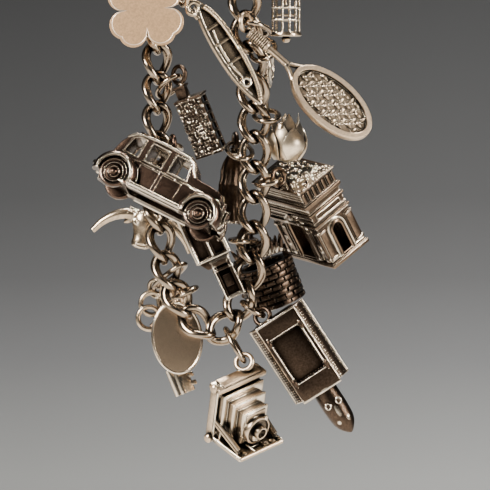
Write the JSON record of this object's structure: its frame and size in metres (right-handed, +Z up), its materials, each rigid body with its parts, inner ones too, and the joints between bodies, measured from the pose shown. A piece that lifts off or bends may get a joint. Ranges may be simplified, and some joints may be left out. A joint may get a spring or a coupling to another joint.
{
  "type": "charm bracelet",
  "caption": "Oxidised silver charm bracelet: a twisted curb chain hanging as a loop, with cast charms on jump rings.",
  "frame": {"origin": "the inner top of the closing ring, where the bracelet hangs", "axes": "+X to the right in the picture, +Y away from the viewer, +Z up"},
  "size_m": [0.0433, 0.0321, 0.1107],
  "materials": {
    "silver": "oxidised, worn bright on edges",
    "dark_silver": "oxidised, dark in relief",
    "warm_silver": "matte, worn"
  },
  "bodies": {
    "root": {"curb_chain": "silver", "closing_ring": "silver", "jump_ring_clover": "silver", "clover": "warm_silver", "jump_ring_saloon_car": "silver", "saloon_car": "silver", "jump_ring_tower_block": "silver", "tower_block": "dark_silver", "jump_ring_slender_boat": "silver", "slender_boat": "silver", "jump_ring_tennis_racket": "silver", "tennis_racket": "silver", "jump_ring_lotus_bud": "silver", "lotus_bud": "warm_silver", "jump_ring_triumphal_arch": "silver", "triumphal_arch": "dark_silver", "jump_ring_wishing_well": "silver", "wishing_well": "dark_silver", "jump_ring_animal_cart": "silver", "animal_cart": "dark_silver", "jump_ring_folding_camera": "silver", "folding_camera": "silver", "jump_ring_oval_disc": "silver", "oval_disc": "silver", "jump_ring_key": "silver", "key": "silver", "jump_ring_steer_head": "silver", "steer_head": "silver", "jump_ring_chapel": "silver", "chapel": "dark_silver", "jump_ring_draped_bell": "silver", "draped_bell": "dark_silver", "jump_ring_bird_cage": "silver", "bird_cage": "silver", "jump_ring_beaded_coin": "silver", "beaded_coin": "silver"}
  },
  "joints": []
}
